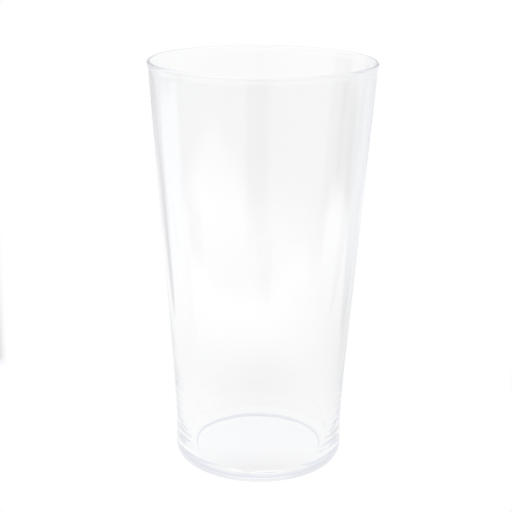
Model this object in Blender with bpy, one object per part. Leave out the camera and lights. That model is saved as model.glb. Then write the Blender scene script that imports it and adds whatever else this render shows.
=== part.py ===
"""Pint glass: one body of clear glass, a solid of revolution about +Z.

Metres, +Z up. The origin is the centre of the foot, on the surface the glass stands on.
"""

import math

import bpy

HEIGHT = 0.157
SEGMENTS = 72

# Outer side: a straight cone above a nearly upright foot band and a rounded heel
RIM_RADIUS = 0.04265  # of the outer cone, carried up to the full height
OUTER_SLOPE = 0.0751  # radius gained per unit of height
CONE_RINGS = [0.137, 0.117, 0.097, 0.077, 0.056, 0.0365]
FOOT_BAND = [  # (radius, height), downwards from the cone to the heel
    (0.03328, 0.0304),
    (0.03298, 0.0253),
    (0.03274, 0.0208),
    (0.03257, 0.0162),
    (0.03254, 0.0122),
    (0.03266, 0.0086),
]
HEEL_RADIUS = 0.03274
HEEL_WIDTH = 0.0048
HEEL_HEIGHT = 0.0056
HEEL_STEPS = 6

# Underside: a flat standing ring round a shallow hollow
HOLLOW = [(0.0267, 0.0), (0.0258, 0.0003), (0.0244, 0.0006), (0.0195, 0.0009), (0.0, 0.0012)]

# Rim: a fire-polished bead, a little proud of the outer wall and flush with the inner one
RIM_WALL = 0.0013
BEAD_PROUD = 0.0003
BEAD_TOP = 0.0009  # from the bead's widest ring up to the lip
BEAD_FOOT = 0.0015  # from the bead's widest ring down to the plain wall
BEAD_STEPS = 8

# Inside of the cup: a flat floor, a tight rounded corner and a wall that thins towards the rim
FLOOR_LEVEL = 0.0050
FLOOR_RADIUS = 0.0245
CORNER_WIDTH = 0.0039
CORNER_HEIGHT = 0.0010
CORNER_STEPS = 6
INNER_CONE_FOOT = (0.02925, 0.0142)  # (radius, height) where the inner cone starts
INNER_RINGS = [0.0253] + CONE_RINGS[::-1]

GLASS_TINT = (0.97, 0.985, 0.98, 1.0)
GLASS_IOR = 1.52


def outer_cone(z):
    """Radius of the outer wall's cone at height z."""
    return RIM_RADIUS - OUTER_SLOPE * (HEIGHT - z)


def inner_cone(z):
    """Radius of the inner wall's cone at height z, which ends one rim wall inside the outer cone."""
    foot_radius, foot_height = INNER_CONE_FOOT
    bead_height = HEIGHT - BEAD_TOP
    slope = (outer_cone(bead_height) - RIM_WALL - foot_radius) / (bead_height - foot_height)
    return foot_radius + slope * (z - foot_height)


def quarter(centre, width, height, start, end, steps):
    """(radius, height) points along an ellipse between two angles in degrees, both ends included."""
    points = []
    for i in range(steps + 1):
        angle = math.radians(start + (end - start) * i / steps)
        points.append((centre[0] + width * math.cos(angle), centre[1] + height * math.sin(angle)))
    return points


def cup_profile():
    """(radius, height) from the middle of the cup's floor, over the rim, to the middle of the underside."""
    bead_height = HEIGHT - BEAD_TOP
    bead_outer = outer_cone(bead_height) + BEAD_PROUD
    bead_inner = inner_cone(bead_height)
    lip = ((bead_outer + bead_inner) / 2, bead_height)
    half_lip = (bead_outer - bead_inner) / 2
    bead_middle = bead_height - BEAD_FOOT / 2
    bead_foot = bead_height - BEAD_FOOT
    corner = (FLOOR_RADIUS, FLOOR_LEVEL + CORNER_HEIGHT)
    heel = (HEEL_RADIUS - HEEL_WIDTH, HEEL_HEIGHT)

    points = [(0.0, FLOOR_LEVEL)]
    points += quarter(corner, CORNER_WIDTH, CORNER_HEIGHT, -90, 0, CORNER_STEPS)
    points.append(INNER_CONE_FOOT)
    points += [(inner_cone(z), z) for z in INNER_RINGS]
    points += quarter(lip, half_lip, BEAD_TOP, 180, 0, BEAD_STEPS)
    points.append((outer_cone(bead_middle) + BEAD_PROUD / 2, bead_middle))
    points.append((outer_cone(bead_foot), bead_foot))
    points += [(outer_cone(z), z) for z in CONE_RINGS]
    points += FOOT_BAND
    points += quarter(heel, HEEL_WIDTH, HEEL_HEIGHT, 0, -90, HEEL_STEPS)
    points += HOLLOW
    return points


def clear_scene():
    for old in list(bpy.data.objects):
        bpy.data.objects.remove(old, do_unlink=True)


def glass_material():
    material = bpy.data.materials.new("clear_glass")
    material.use_nodes = True
    shader = material.node_tree.nodes["Principled BSDF"]
    shader.inputs["Base Color"].default_value = GLASS_TINT
    shader.inputs["Transmission Weight"].default_value = 1.0
    shader.inputs["Roughness"].default_value = 0.0
    shader.inputs["IOR"].default_value = GLASS_IOR
    return material


def glass_body():
    """The whole glass, turned from its half section at +X."""
    profile = cup_profile()
    mesh = bpy.data.meshes.new("glass_body")
    vertices = [(r, 0.0, z) for r, z in profile]
    edges = [(i, i + 1) for i in range(len(profile) - 1)]
    mesh.from_pydata(vertices, edges, [])
    mesh.materials.append(glass_material())
    body = bpy.data.objects.new("glass_body", mesh)
    bpy.context.scene.collection.objects.link(body)
    turn = body.modifiers.new("turn", "SCREW")
    turn.axis = "Z"
    turn.steps = SEGMENTS
    turn.render_steps = SEGMENTS
    turn.use_merge_vertices = True
    turn.merge_threshold = 0.00001
    turn.use_smooth_shade = True
    return body


clear_scene()
glass_body()
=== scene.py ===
"""Pint glass in a white studio: a fine glass body in place of the CAD solid, a glowing table with painted
light and shade, and a camera.

Metres, +Z up, in the part's frame: the origin is the centre of the foot, on the plane it stands on.
"""

import math

import bpy
import numpy as np
from mathutils import Matrix, Vector


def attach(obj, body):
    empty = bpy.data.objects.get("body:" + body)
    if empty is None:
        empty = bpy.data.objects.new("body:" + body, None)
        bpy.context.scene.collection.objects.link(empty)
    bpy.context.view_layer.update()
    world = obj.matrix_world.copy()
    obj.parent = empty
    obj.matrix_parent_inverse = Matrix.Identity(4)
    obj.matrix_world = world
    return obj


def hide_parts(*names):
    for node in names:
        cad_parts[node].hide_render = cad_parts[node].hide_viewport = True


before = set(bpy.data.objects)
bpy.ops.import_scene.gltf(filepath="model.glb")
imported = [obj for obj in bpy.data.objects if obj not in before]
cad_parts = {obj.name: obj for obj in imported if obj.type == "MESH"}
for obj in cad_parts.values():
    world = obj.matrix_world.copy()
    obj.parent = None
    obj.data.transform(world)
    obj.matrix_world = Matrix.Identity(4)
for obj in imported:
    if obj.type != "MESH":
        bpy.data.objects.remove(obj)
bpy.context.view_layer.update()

# ---------------------------------------------------------------- the glass's section
# It is part.py's, apart from the two places where a comment says otherwise.
HEIGHT = 0.157

# Outer side: a straight cone above a nearly upright foot band and a rounded heel
RIM_RADIUS = 0.04265  # of the outer cone, carried up to the full height
OUTER_SLOPE = 0.0751  # radius gained per unit of height
FOOT_BAND = [  # (height, radius), upwards from the heel
    (0.0086, 0.03266),
    (0.0122, 0.03254),
    (0.0162, 0.03257),
    (0.0208, 0.03274),
    (0.0253, 0.03298),
    (0.0304, 0.03328),
]
BAND_TOP = 0.0365  # where the band has turned into the cone
BAND_BLEND = 0.045  # a height just above it, which keeps the curve on the cone
HEEL_RADIUS = 0.03274
HEEL_WIDTH = 0.0048
HEEL_HEIGHT = 0.0056

# Underside: (radius, height) from the middle of the hollow out to the flat standing ring.
# The hollow's edge is a little narrower than in part.py.
HOLLOW = [(0.0, 0.0012), (0.0195, 0.0009), (0.0252, 0.0006), (0.0262, 0.0003), (0.0267, 0.0)]
HOLLOW_FINE = 0.0215  # the rows are close together from the standing ring in to this radius
HOLLOW_COARSE = 0.0205  # and further apart from this one to the middle

# Rim: a fire-polished bead, a little proud of the outer wall and flush with the inner one
RIM_WALL = 0.0013
BEAD_PROUD = 0.0003
BEAD_TOP = 0.0009  # from the bead's widest ring up to the lip
BEAD_FOOT = 0.0024  # from the bead's widest ring down to the plain wall, further than in part.py

# Inside of the cup: a flat floor, a tight rounded corner and a wall that thins towards the rim
FLOOR_LEVEL = 0.0050
FLOOR_RADIUS = 0.0245
CORNER_WIDTH = 0.0039
CORNER_HEIGHT = 0.0010
CORNER_TOP = FLOOR_LEVEL + CORNER_HEIGHT
INNER_CONE_FOOT = (0.02925, 0.0142)  # (radius, height) where the inner cone starts
INNER_BLEND = 0.020  # a height just above it, which keeps the curve on the cone
INNER_CONE_PLAIN = 0.030  # another such height, and above it the rows are further apart

# Steps of the mesh along each stretch of the section, and round the axis
FLOOR_STEPS = 13
CORNER_STEPS = 16
INNER_FOOT_STEPS = 17
INNER_CONE_STEPS = 35
BEAD_STEPS = 24
BEAD_FOOT_STEPS = 8
OUTER_CONE_STEPS = 35
BAND_STEPS = 23
HEEL_STEPS = 20
RING_STEPS = 5
HOLLOW_FINE_STEPS = 9
HOLLOW_COARSE_STEPS = 11
SEGMENTS = 432

# ---------------------------------------------------------------- waviness that part.py leaves out
WALL_WAVE = 0.00003
WALL_TWIST = 12.0  # radians that the wall's finer waves turn per metre of height
CORNER_WAVE = 0.00003
CORNER_REACH = 0.006  # height over which the corner's waves die away
HEEL_WAVE = 0.00002  # it moves the hollow sideways too
HOLLOW_WAVE = 0.00001
HOLLOW_TWIST = 60.0  # radians that the hollow's waves turn per metre of radius
HOLLOW_CALM = 0.0238  # the hollow's waves stay inside this radius
RIM_REACH = 0.004  # height over which the wall's waves die away below the lip
RING_FLAT = 1e-6  # anything lower is the standing ring, which stays flat

# ---------------------------------------------------------------- the glass's material
GLASS_IOR = 1.52
GLASS_TINT = (0.35, 0.48, 0.66, 1.0)
GLASS_DENSITY = 0.06  # of the tint in the volume, per metre
GLASS_HAZE = 0.001  # the highest roughness
GLASS_SWELL = 0.000004  # height of the surface's swell, in metres
SWELL_SCALE = 35.0
CLOUD_SCALE = 28.0
CLOUD_TINTS = [(0.3, (0.997, 0.998, 1.0)), (0.7, (1.0, 1.0, 1.0))]

# ---------------------------------------------------------------- the camera
CAMERA_PLACE = (0.0, -0.4752, 0.22335)
CAMERA_YAW = math.radians(-0.207)
CAMERA_PITCH = math.radians(16.63)  # downwards
CAMERA_ROLL = math.radians(0.651)
CAMERA_LENS = 90.4
SENSOR_WIDTH = 36.0
CLIP_START = 0.01

# ---------------------------------------------------------------- the studio
# Azimuths are degrees round the glass: 0 towards the camera, positive to the camera's right, 180 behind.
# The sweep is a white wedge on the table, behind the glass. Its sides meet at the point under the camera.
SWEEP_APEX = CAMERA_PLACE[:2]
SWEEP_HALF_ANGLE = 11.8  # nearly all of the camera's view: its soft edge shows at the far left
SWEEP_EDGE = 0.01  # width of its soft edge, as a share of how far back from the apex it is
SWEEP_START = 0.02  # it comes up over this distance, starting at the glass's axis
APEX_GUARD = 0.001  # distances back from the apex are taken as at least this, to divide by them

# The pool is a painted pool of light, the table's white round the glass: how far it reaches at each azimuth.
LIGHT_POOL_REACH = [
    (-180, 0.06),
    (-128, 0.06),
    (-124, 0.2),
    (-94, 0.33),
    (-75, 0.36),
    (-61, 0.43),
    (-45, 0.43),
    (-30, 0.37),
    (-18, 0.31),
    (-13, 0.27),
    (3, 0.27),
    (10, 0.28),
    (75, 0.27),
    (84, 0.33),
    (112, 0.33),
    (122, 0.06),
    (180, 0.06),
]
LIGHT_POOL_SOFTNESS = 0.055  # half the width of the painted pool of light's edge

# Painted shadows of the glass on the table and one painted glow, lighter or darker, which only the glass
# shows: (centre), (half sizes), depth.
PAINTED_SHADOWS_AND_GLOW = [
    # a painted glow on the table behind the glass, to its left
    ((-0.05, 0.34), (0.07, 0.14), 0.045),
    # painted shadows of the glass: behind it, to its right, to its left and under it
    ((0.0, 0.07), (0.03, 0.045), -0.09),
    ((0.09, 0.1), (0.05, 0.13), -0.18),
    ((-0.075, 0.08), (0.04, 0.06), -0.08),
    ((0.0, -0.035), (0.03, 0.02), -0.16),
]

# The table's painted light and shade beyond the pool of light, as far as the table's edge, with a dark
# painted shadow in front.
TABLE_RADIUS = 0.62
TABLE_FADE = 0.1  # share of the radius, each way, over which the table turns into the walls' tones
TABLE_LIGHT_AND_SHADE = [
    (-180, (0.88, 0.88, 0.9)),
    (-160, (0.86, 0.86, 0.88)),
    (-129, (0.68, 0.68, 0.7)),
    (-126, (1.0, 1.02, 1.08)),
    (-96, (1.0, 1.02, 1.08)),
    (-93, (0.5, 0.5, 0.5)),
    (-18, (0.5, 0.5, 0.5)),
    (-14, (0.12, 0.12, 0.12)),
    (3, (0.12, 0.12, 0.12)),
    (9, (0.4, 0.4, 0.4)),
    (83, (0.5, 0.5, 0.5)),
    (87, (0.16, 0.16, 0.16)),
    (108, (0.16, 0.16, 0.16)),
    (112, (0.6, 0.62, 0.66)),
    (135, (0.86, 0.87, 0.9)),
    (180, (0.9, 0.91, 0.94)),
]

# The walls' colour, up to a low angle, and the ceiling's, above a higher one.
WALL_TONES = [
    (-180, (1.0, 1.0, 1.0)),
    (-168, (1.0, 1.0, 1.0)),
    (-162, (0.76, 0.76, 0.78)),
    (-124, (0.72, 0.72, 0.74)),
    (-112, (0.6, 0.6, 0.62)),
    (-109, (0.22, 0.22, 0.22)),
    (-86, (0.22, 0.22, 0.22)),
    (-82, (0.55, 0.57, 0.62)),
    (-70, (0.6, 0.6, 0.6)),
    (-14, (0.5, 0.5, 0.5)),
    (0, (0.3, 0.3, 0.3)),
    (14, (0.45, 0.45, 0.45)),
    (60, (0.5, 0.5, 0.5)),
    (95, (0.7, 0.72, 0.76)),
    (128, (0.81, 0.82, 0.85)),
    (162, (0.87, 0.88, 0.91)),
    (168, (1.0, 1.0, 1.0)),
    (180, (1.0, 1.0, 1.0)),
]
CEILING_TONES = [
    (-180, (0.83, 0.85, 0.91)),
    (-60, (0.78, 0.8, 0.85)),
    (0, (0.68, 0.69, 0.73)),
    (60, (0.76, 0.78, 0.83)),
    (180, (0.83, 0.85, 0.91)),
]
WALLS_END = math.radians(3)
CEILING_START = math.radians(20)

WHITE = (1.0, 1.0, 1.0)
TABLE_HALF = 3.0
TABLE_DROP = 0.0002  # the table is this far under the standing ring, so that they share no plane
BOUNCES = 1024  # light trapped in the wall and the rim takes very many bounces to get out


# ---------------------------------------------------------------- the glass's shape
def smooth_curve(knots, at):
    """Monotone cubic through (position, value) knots, with positions increasing."""
    positions, values = np.array(knots, float).T
    at = np.asarray(at, float)
    gaps = np.diff(positions)
    slopes = np.diff(values) / gaps
    tangents = np.zeros(len(positions))
    tangents[0], tangents[-1] = slopes[0], slopes[-1]
    for i in range(1, len(positions) - 1):
        if slopes[i - 1] * slopes[i] > 0:
            before = 2 * gaps[i] + gaps[i - 1]
            after = gaps[i] + 2 * gaps[i - 1]
            tangents[i] = (before + after) / (before / slopes[i - 1] + after / slopes[i])
    i = np.clip(np.searchsorted(positions, at) - 1, 0, len(positions) - 2)
    t = (at - positions[i]) / gaps[i]
    return (
        values[i] * (2 * t**3 - 3 * t**2 + 1)
        + tangents[i] * gaps[i] * (t**3 - 2 * t**2 + t)
        + values[i + 1] * (-2 * t**3 + 3 * t**2)
        + tangents[i + 1] * gaps[i] * (t**3 - t**2)
    )


def outer_cone(z):
    """Radius of the outer wall's cone at height z."""
    return RIM_RADIUS - OUTER_SLOPE * (HEIGHT - z)


def outer_radius(z):
    """Radius of the outer side at height z, from the top of the heel up."""
    knots = [(HEEL_HEIGHT, HEEL_RADIUS)] + FOOT_BAND
    knots += [(h, outer_cone(h)) for h in (BAND_TOP, BAND_BLEND, HEIGHT)]
    return smooth_curve(knots, z)


def inner_cone(z):
    """Radius of the inner wall's cone at height z, which ends one rim wall inside the outer cone."""
    foot_radius, foot_height = INNER_CONE_FOOT
    top_height = HEIGHT - BEAD_TOP
    slope = (outer_cone(top_height) - RIM_WALL - foot_radius) / (top_height - foot_height)
    return foot_radius + slope * (z - foot_height)


def inner_radius(z):
    """Radius of the inner side at height z, from the top of the corner up."""
    knots = [(CORNER_TOP, FLOOR_RADIUS + CORNER_WIDTH), INNER_CONE_FOOT[::-1]]
    knots += [(h, inner_cone(h)) for h in (INNER_BLEND, INNER_CONE_PLAIN, HEIGHT)]
    return smooth_curve(knots, z)


def spaced(start, end, steps):
    """The values from start to end in equal steps, with start and without end."""
    return np.linspace(start, end, steps + 1)[:-1]


def arc(centre, width, height, start, end, steps):
    """(radius, height) points on an ellipse's arc, with both ends. The angles are degrees."""
    angles = np.radians(np.linspace(start, end, steps + 1))
    return list(zip(centre[0] + width * np.cos(angles), centre[1] + height * np.sin(angles)))


def profile():
    """(radius, height) rows from the middle of the cup's floor, over the rim, to the underside's middle."""
    bead_height = HEIGHT - BEAD_TOP
    bead_end = bead_height - BEAD_FOOT
    bead_outside = outer_cone(bead_height) + BEAD_PROUD
    bead_inside = inner_cone(bead_height)
    bead_middle = (bead_outside + bead_inside) / 2
    bead_half = (bead_outside - bead_inside) / 2
    heel_middle = HEEL_RADIUS - HEEL_WIDTH
    ring_inside = HOLLOW[-1][0]

    rows = [(r, FLOOR_LEVEL) for r in spaced(0, FLOOR_RADIUS, FLOOR_STEPS)]
    rows += arc((FLOOR_RADIUS, CORNER_TOP), CORNER_WIDTH, CORNER_HEIGHT, -90, 0, CORNER_STEPS)
    rows += [(inner_radius(z), z) for z in spaced(CORNER_TOP, INNER_CONE_PLAIN, INNER_FOOT_STEPS)[1:]]
    rows += [(inner_radius(z), z) for z in spaced(INNER_CONE_PLAIN, bead_height, INNER_CONE_STEPS)]
    rows += arc((bead_middle, bead_height), bead_half, BEAD_TOP, 180, 0, BEAD_STEPS)
    for share in spaced(0, 1, BEAD_FOOT_STEPS)[1:]:
        z = bead_height - BEAD_FOOT * share
        proud = BEAD_PROUD * (0.5 + 0.5 * np.cos(np.pi * share))
        rows.append((outer_radius(z) + proud, z))
    rows += [(outer_radius(z), z) for z in spaced(bead_end, BAND_TOP, OUTER_CONE_STEPS)]
    rows += [(outer_radius(z), z) for z in spaced(BAND_TOP, HEEL_HEIGHT, BAND_STEPS)]
    rows += arc((heel_middle, HEEL_HEIGHT), HEEL_WIDTH, HEEL_HEIGHT, 0, -90, HEEL_STEPS)
    rows += [(r, 0.0) for r in spaced(heel_middle, ring_inside, RING_STEPS)[1:]]
    edge = spaced(ring_inside, HOLLOW_FINE, HOLLOW_FINE_STEPS)
    middle = spaced(HOLLOW_COARSE, 0, HOLLOW_COARSE_STEPS)
    radii = [*edge, HOLLOW_FINE, *middle, 0]
    rows += list(zip(radii, smooth_curve(HOLLOW, radii)))
    return np.array(rows, float)


def ripple(angles, seed, waves, fade=0.5):
    """A smooth, endless wave round the glass, of about unit size: random phases on the listed wave counts."""
    phases = np.random.RandomState(seed).uniform(0, 2 * np.pi, len(waves))
    sizes = np.array([count ** -fade for count in waves])
    wave = sum(size * np.cos(count * angles + phase) for size, count, phase in zip(sizes, waves, phases))
    return wave / np.sqrt((sizes**2).sum() / 2)


def bump_at(value, centre, width):
    """1 where the value is at the centre, falling smoothly to 0 over about the width."""
    return np.exp(-(((value - centre) / width) ** 2))


def unevenness(rows, angles):
    """Sideways and upward shifts, one per row and angle: real glass is smooth but never quite true."""
    order = np.arange(len(rows))[:, None]
    lip = np.argmax(rows[:, 1])
    inside = order < lip
    outside = order > lip
    r, z = rows[:, :1], rows[:, 1:]
    radial = np.zeros((len(rows), len(angles)))
    vertical = np.zeros((len(rows), len(angles)))

    on_wall = (r > FLOOR_RADIUS + 0.5 * CORNER_WIDTH) & inside
    below_rim = 1 - bump_at(z, HEIGHT, RIM_REACH)
    wall = 0.7 * ripple(angles, 1, (2, 3, 5, 7)) + 0.3 * ripple(angles + WALL_TWIST * z, 2, (4, 9, 13))
    radial += on_wall * below_rim * WALL_WAVE * wall

    corner = bump_at(z, CORNER_TOP, CORNER_REACH) * (r > 0.6 * FLOOR_RADIUS) * inside
    radial += corner * CORNER_WAVE * ripple(angles, 3, (3, 5, 8, 13))
    vertical += corner * CORNER_WAVE * ripple(angles, 4, (4, 7, 12)) * (z < CORNER_TOP)

    heel_and_hollow = bump_at(z, 0.4 * HEEL_HEIGHT, 0.6 * HEEL_HEIGHT) * (z > RING_FLAT) * outside
    radial += heel_and_hollow * HEEL_WAVE * ripple(angles, 5, (5, 9, 14, 23), 0.3)

    hollow = outside * (r < HOLLOW_CALM)
    vertical += hollow * HOLLOW_WAVE * ripple(angles + HOLLOW_TWIST * r, 6, (3, 5, 9), 0.3)
    return radial, vertical


def lathe(name, rows, segments):
    """A closed mesh turned from rows whose first and last points lie on the axis."""
    angles = np.arange(segments) * 2 * np.pi / segments
    rings = rows[1:-1]
    radial, vertical = unevenness(rings, angles)
    radius = rings[:, :1] + radial
    x, y, z = radius * np.cos(angles), radius * np.sin(angles), rings[:, 1:] + vertical
    points = np.stack([x, y, z], -1).reshape(-1, 3)
    first, last = len(points), len(points) + 1
    points = np.vstack([points, [[0, 0, rows[0, 1]], [0, 0, rows[-1, 1]]]])

    here = np.arange(segments)
    beside = (here + 1) % segments
    faces = []
    for ring in range(len(rings) - 1):
        start = ring * segments
        end = start + segments
        faces += np.stack([start + here, end + here, end + beside, start + beside], -1).tolist()
    start = (len(rings) - 1) * segments
    faces += [[first, int(a), int(b)] for a, b in zip(here, beside)]
    faces += [[last, int(start + b), int(start + a)] for a, b in zip(here, beside)]

    mesh = bpy.data.meshes.new(name)
    mesh.from_pydata(points.tolist(), [], faces)
    mesh.validate()
    mesh.shade_smooth()
    body = bpy.data.objects.new(name, mesh)
    bpy.context.scene.collection.objects.link(body)
    return body


# ---------------------------------------------------------------- shader nodes
def add_node(tree, kind, values=None, links=None, **settings):
    """A node with its settings, its unlinked input values and its incoming links."""
    node = tree.nodes.new(kind)
    for name, value in settings.items():
        setattr(node, name, value)
    for name, value in (values or {}).items():
        node.inputs[name].default_value = value
    for name, source in (links or {}).items():
        tree.links.new(source, node.inputs[name])
    return node


def math_node(tree, operation, *terms):
    """The result of one operation on numbers or sockets."""
    node = add_node(tree, "ShaderNodeMath", operation=operation)
    for place, term in enumerate(terms):
        if isinstance(term, (int, float)):
            node.inputs[place].default_value = term
        else:
            tree.links.new(term, node.inputs[place])
    return node.outputs[0]


def ramp_node(tree, source, stops, interpolation):
    """A colour that follows the source through (position, colour) stops."""
    node = add_node(tree, "ShaderNodeValToRGB", links={0: source})
    ramp = node.color_ramp
    ramp.interpolation = interpolation
    ramp.elements[0].position = stops[0][0]
    ramp.elements[-1].position = stops[-1][0]
    for position, _ in stops[1:-1]:
        ramp.elements.new(position)
    for element, (_, colour) in zip(ramp.elements, stops):
        element.color = (*colour, 1.0)
    return node.outputs["Color"]


def azimuth_ramp(tree, vector, tones):
    """What (azimuth, tone) pairs say for a direction round the glass. A tone is a number or a colour."""
    split = add_node(tree, "ShaderNodeSeparateXYZ", links={"Vector": vector}).outputs
    towards_camera = math_node(tree, "MULTIPLY", split["Y"], -1.0)
    angle = math_node(tree, "ARCTAN2", split["X"], towards_camera)
    turn = math_node(tree, "MULTIPLY_ADD", angle, 0.5 / math.pi, 0.5)
    colours = [tone if isinstance(tone, tuple) else (tone,) * 3 for _, tone in tones]
    stops = [((azimuth + 180) / 360, colour) for (azimuth, _), colour in zip(tones, colours)]
    return ramp_node(tree, turn, stops, "LINEAR")


def smooth_step(tree, value, low, high):
    """0 where the value is at low, 1 where it is at high, and a smooth change between."""
    limits = {"From Min": low, "From Max": high}
    node = add_node(tree, "ShaderNodeMapRange", limits, {"Value": value}, interpolation_type="SMOOTHSTEP")
    return node.outputs[0]


def mix_colour(tree, factor, first, second):
    """The first colour where the factor is 0 and the second where it is 1. Each is a tuple or a socket."""
    node = add_node(tree, "ShaderNodeMix", links={"Factor": factor}, data_type="RGBA")
    for name, colour in (("A", first), ("B", second)):
        socket = next(s for s in node.inputs if s.name == name and s.type == "RGBA")
        if isinstance(colour, tuple):
            socket.default_value = (*colour, 1.0)
        else:
            tree.links.new(colour, socket)
    return next(s for s in node.outputs if s.type == "RGBA")


# ---------------------------------------------------------------- materials
def glass_material():
    """Plain clear glass: a very weak tint, and hardly any haze or swell."""
    material = bpy.data.materials.new("clear_glass")
    material.use_nodes = True
    tree = material.node_tree
    shader = tree.nodes["Principled BSDF"]
    shader.inputs["IOR"].default_value = GLASS_IOR
    shader.inputs["Transmission Weight"].default_value = 1.0
    at = {"Vector": tree.nodes.new("ShaderNodeTexCoord").outputs["Object"]}

    cloud = add_node(tree, "ShaderNodeTexNoise", {"Scale": CLOUD_SCALE, "Detail": 3.0}, at).outputs[0]
    tree.links.new(ramp_node(tree, cloud, CLOUD_TINTS, "EASE"), shader.inputs["Base Color"])
    haze = add_node(tree, "ShaderNodeMapRange", {"To Min": 0.0, "To Max": GLASS_HAZE}, {"Value": cloud})
    tree.links.new(haze.outputs[0], shader.inputs["Roughness"])

    swell = add_node(tree, "ShaderNodeTexNoise", {"Scale": SWELL_SCALE, "Detail": 0.0}, at).outputs[0]
    bump = add_node(tree, "ShaderNodeBump", {"Strength": 1.0, "Distance": GLASS_SWELL}, {"Height": swell})
    tree.links.new(bump.outputs[0], shader.inputs["Normal"])

    absorption = {"Color": GLASS_TINT, "Density": GLASS_DENSITY}
    volume = add_node(tree, "ShaderNodeVolumeAbsorption", absorption)
    tree.links.new(volume.outputs["Volume"], tree.nodes["Material Output"].inputs["Volume"])
    return material


def sweep_mask(tree, x, y):
    """1 on the white sweep behind the glass, 0 off it."""
    across = math_node(tree, "ABSOLUTE", math_node(tree, "SUBTRACT", x, SWEEP_APEX[0]))
    along = math_node(tree, "SUBTRACT", y, SWEEP_APEX[1])
    spread = math_node(tree, "DIVIDE", across, math_node(tree, "MAXIMUM", along, APEX_GUARD))
    side = math.tan(math.radians(SWEEP_HALF_ANGLE))
    in_wedge = smooth_step(tree, spread, side + SWEEP_EDGE, side)
    behind = smooth_step(tree, y, 0.0, SWEEP_START)
    return math_node(tree, "MULTIPLY", in_wedge, behind)


def painted_shadow_sum(tree, x, y):
    """How much lighter or darker the painted shadows and the painted glow make each place."""
    total = 0.0
    for (middle_x, middle_y), (half_x, half_y), depth in PAINTED_SHADOWS_AND_GLOW:
        steps = [
            math_node(tree, "DIVIDE", math_node(tree, "SUBTRACT", x, middle_x), half_x),
            math_node(tree, "DIVIDE", math_node(tree, "SUBTRACT", y, middle_y), half_y),
        ]
        squares = math_node(tree, "ADD", *(math_node(tree, "MULTIPLY", step, step) for step in steps))
        patch = math_node(tree, "EXPONENT", math_node(tree, "MULTIPLY", squares, -1.0))
        total = math_node(tree, "MULTIPLY_ADD", patch, depth, total)
    return total


def table_material():
    """A glowing table with painted light: white on the sweep and in the painted pool of light, painted light
    and shade beyond, with painted shadows and a painted glow only the glass shows.
    """
    material = bpy.data.materials.new("table_painted_light")
    material.use_nodes = True
    tree = material.node_tree
    tree.nodes.clear()
    place = tree.nodes.new("ShaderNodeTexCoord").outputs["Object"]
    split = add_node(tree, "ShaderNodeSeparateXYZ", links={"Vector": place}).outputs
    distance = add_node(tree, "ShaderNodeVectorMath", links={0: place}, operation="LENGTH").outputs["Value"]

    # Painted pool of light: the table is white round the glass out to the pool's reach.
    past_light_pool = math_node(tree, "SUBTRACT", distance, azimuth_ramp(tree, place, LIGHT_POOL_REACH))
    off_light_pool = smooth_step(tree, past_light_pool, -LIGHT_POOL_SOFTNESS, LIGHT_POOL_SOFTNESS)
    off_sweep = math_node(tree, "SUBTRACT", 1.0, sweep_mask(tree, split["X"], split["Y"]))
    # Painted light and shade wherever the table is off the sweep and off the pool of light.
    light_and_shade_mask = math_node(tree, "MULTIPLY", off_light_pool, off_sweep)

    fade_start = (1 - TABLE_FADE) * TABLE_RADIUS
    fade_end = (1 + TABLE_FADE) * TABLE_RADIUS
    off_table = smooth_step(tree, distance, fade_start, fade_end)
    # The table's painted light and shade, turning into the walls' tones past the table's edge.
    table = azimuth_ramp(tree, place, TABLE_LIGHT_AND_SHADE)
    walls = azimuth_ramp(tree, place, WALL_TONES)
    colour = mix_colour(tree, light_and_shade_mask, WHITE, mix_colour(tree, off_table, table, walls))

    # The painted shadows and glow dim or lift the table's glow only for rays that are not camera rays.
    camera_ray = tree.nodes.new("ShaderNodeLightPath").outputs["Is Camera Ray"]
    in_glass = math_node(tree, "SUBTRACT", 1.0, camera_ray)
    painted_shadow_and_glow = painted_shadow_sum(tree, split["X"], split["Y"])
    strength = math_node(tree, "MULTIPLY_ADD", painted_shadow_and_glow, in_glass, 1.0)
    light = add_node(tree, "ShaderNodeEmission", links={"Color": colour, "Strength": strength})
    add_node(tree, "ShaderNodeOutputMaterial", links={"Surface": light.outputs[0]})
    return material


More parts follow.
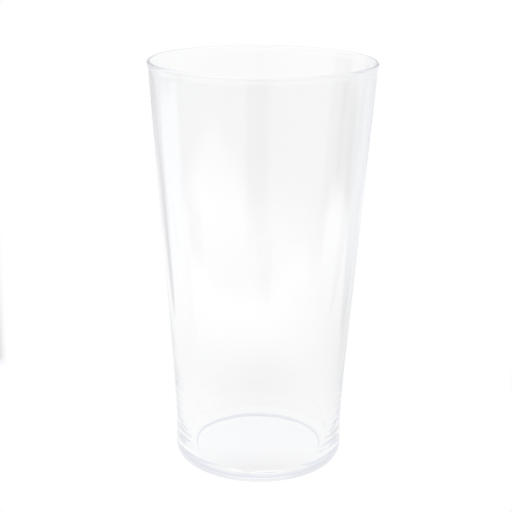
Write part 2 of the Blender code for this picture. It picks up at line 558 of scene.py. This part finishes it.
# ---------------------------------------------------------------- the stage
def stage_floor():
    """The flat square that the glass stands on, glowing with the table's painted light and shade."""
    mesh = bpy.data.meshes.new("floor")
    corners = [(-1, -1), (1, -1), (1, 1), (-1, 1)]
    points = [(x * TABLE_HALF, y * TABLE_HALF, -TABLE_DROP) for x, y in corners]
    mesh.from_pydata(points, [], [(0, 1, 2, 3)])
    mesh.materials.append(table_material())
    floor = bpy.data.objects.new("floor", mesh)
    bpy.context.scene.collection.objects.link(floor)
    return floor


def studio_world():
    """Walls in the walls' tones, turning into the ceiling's tones above them."""
    world = bpy.data.worlds.new("studio")
    world.use_nodes = True
    tree = world.node_tree
    direction = tree.nodes.new("ShaderNodeTexCoord").outputs["Generated"]
    height = add_node(tree, "ShaderNodeSeparateXYZ", links={"Vector": direction}).outputs["Z"]
    lift = smooth_step(tree, height, math.sin(WALLS_END), math.sin(CEILING_START))
    walls = azimuth_ramp(tree, direction, WALL_TONES)
    ceiling = azimuth_ramp(tree, direction, CEILING_TONES)
    tree.links.new(mix_colour(tree, lift, walls, ceiling), tree.nodes["Background"].inputs["Color"])
    return world


def studio_camera():
    """The camera, turned by its yaw, then its pitch, then its roll."""
    data = bpy.data.cameras.new("camera")
    data.lens = CAMERA_LENS
    data.sensor_width = SENSOR_WIDTH
    data.clip_start = CLIP_START
    camera = bpy.data.objects.new("camera", data)
    bpy.context.scene.collection.objects.link(camera)
    level = math.cos(CAMERA_PITCH)
    forward = Vector((math.sin(CAMERA_YAW) * level, math.cos(CAMERA_YAW) * level, -math.sin(CAMERA_PITCH)))
    flat_right = Vector((math.cos(CAMERA_YAW), -math.sin(CAMERA_YAW), 0))
    flat_up = flat_right.cross(forward)
    right = flat_right * math.cos(CAMERA_ROLL) + flat_up * math.sin(CAMERA_ROLL)
    up = -flat_right * math.sin(CAMERA_ROLL) + flat_up * math.cos(CAMERA_ROLL)
    turned = Matrix((right, up, -forward)).transposed().to_4x4()
    turned.translation = Vector(CAMERA_PLACE)
    camera.matrix_world = turned
    return camera


glass = lathe("clear_glass_body", profile(), SEGMENTS)
glass.data.materials.append(glass_material())
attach(glass, "root")
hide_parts("glass_body")

floor = stage_floor()

scene = bpy.context.scene
scene.world = studio_world()
scene.camera = studio_camera()
scene.view_settings.view_transform = "Standard"
scene.view_settings.look = "None"
scene.cycles.max_bounces = BOUNCES
scene.cycles.glossy_bounces = BOUNCES
scene.cycles.transmission_bounces = BOUNCES
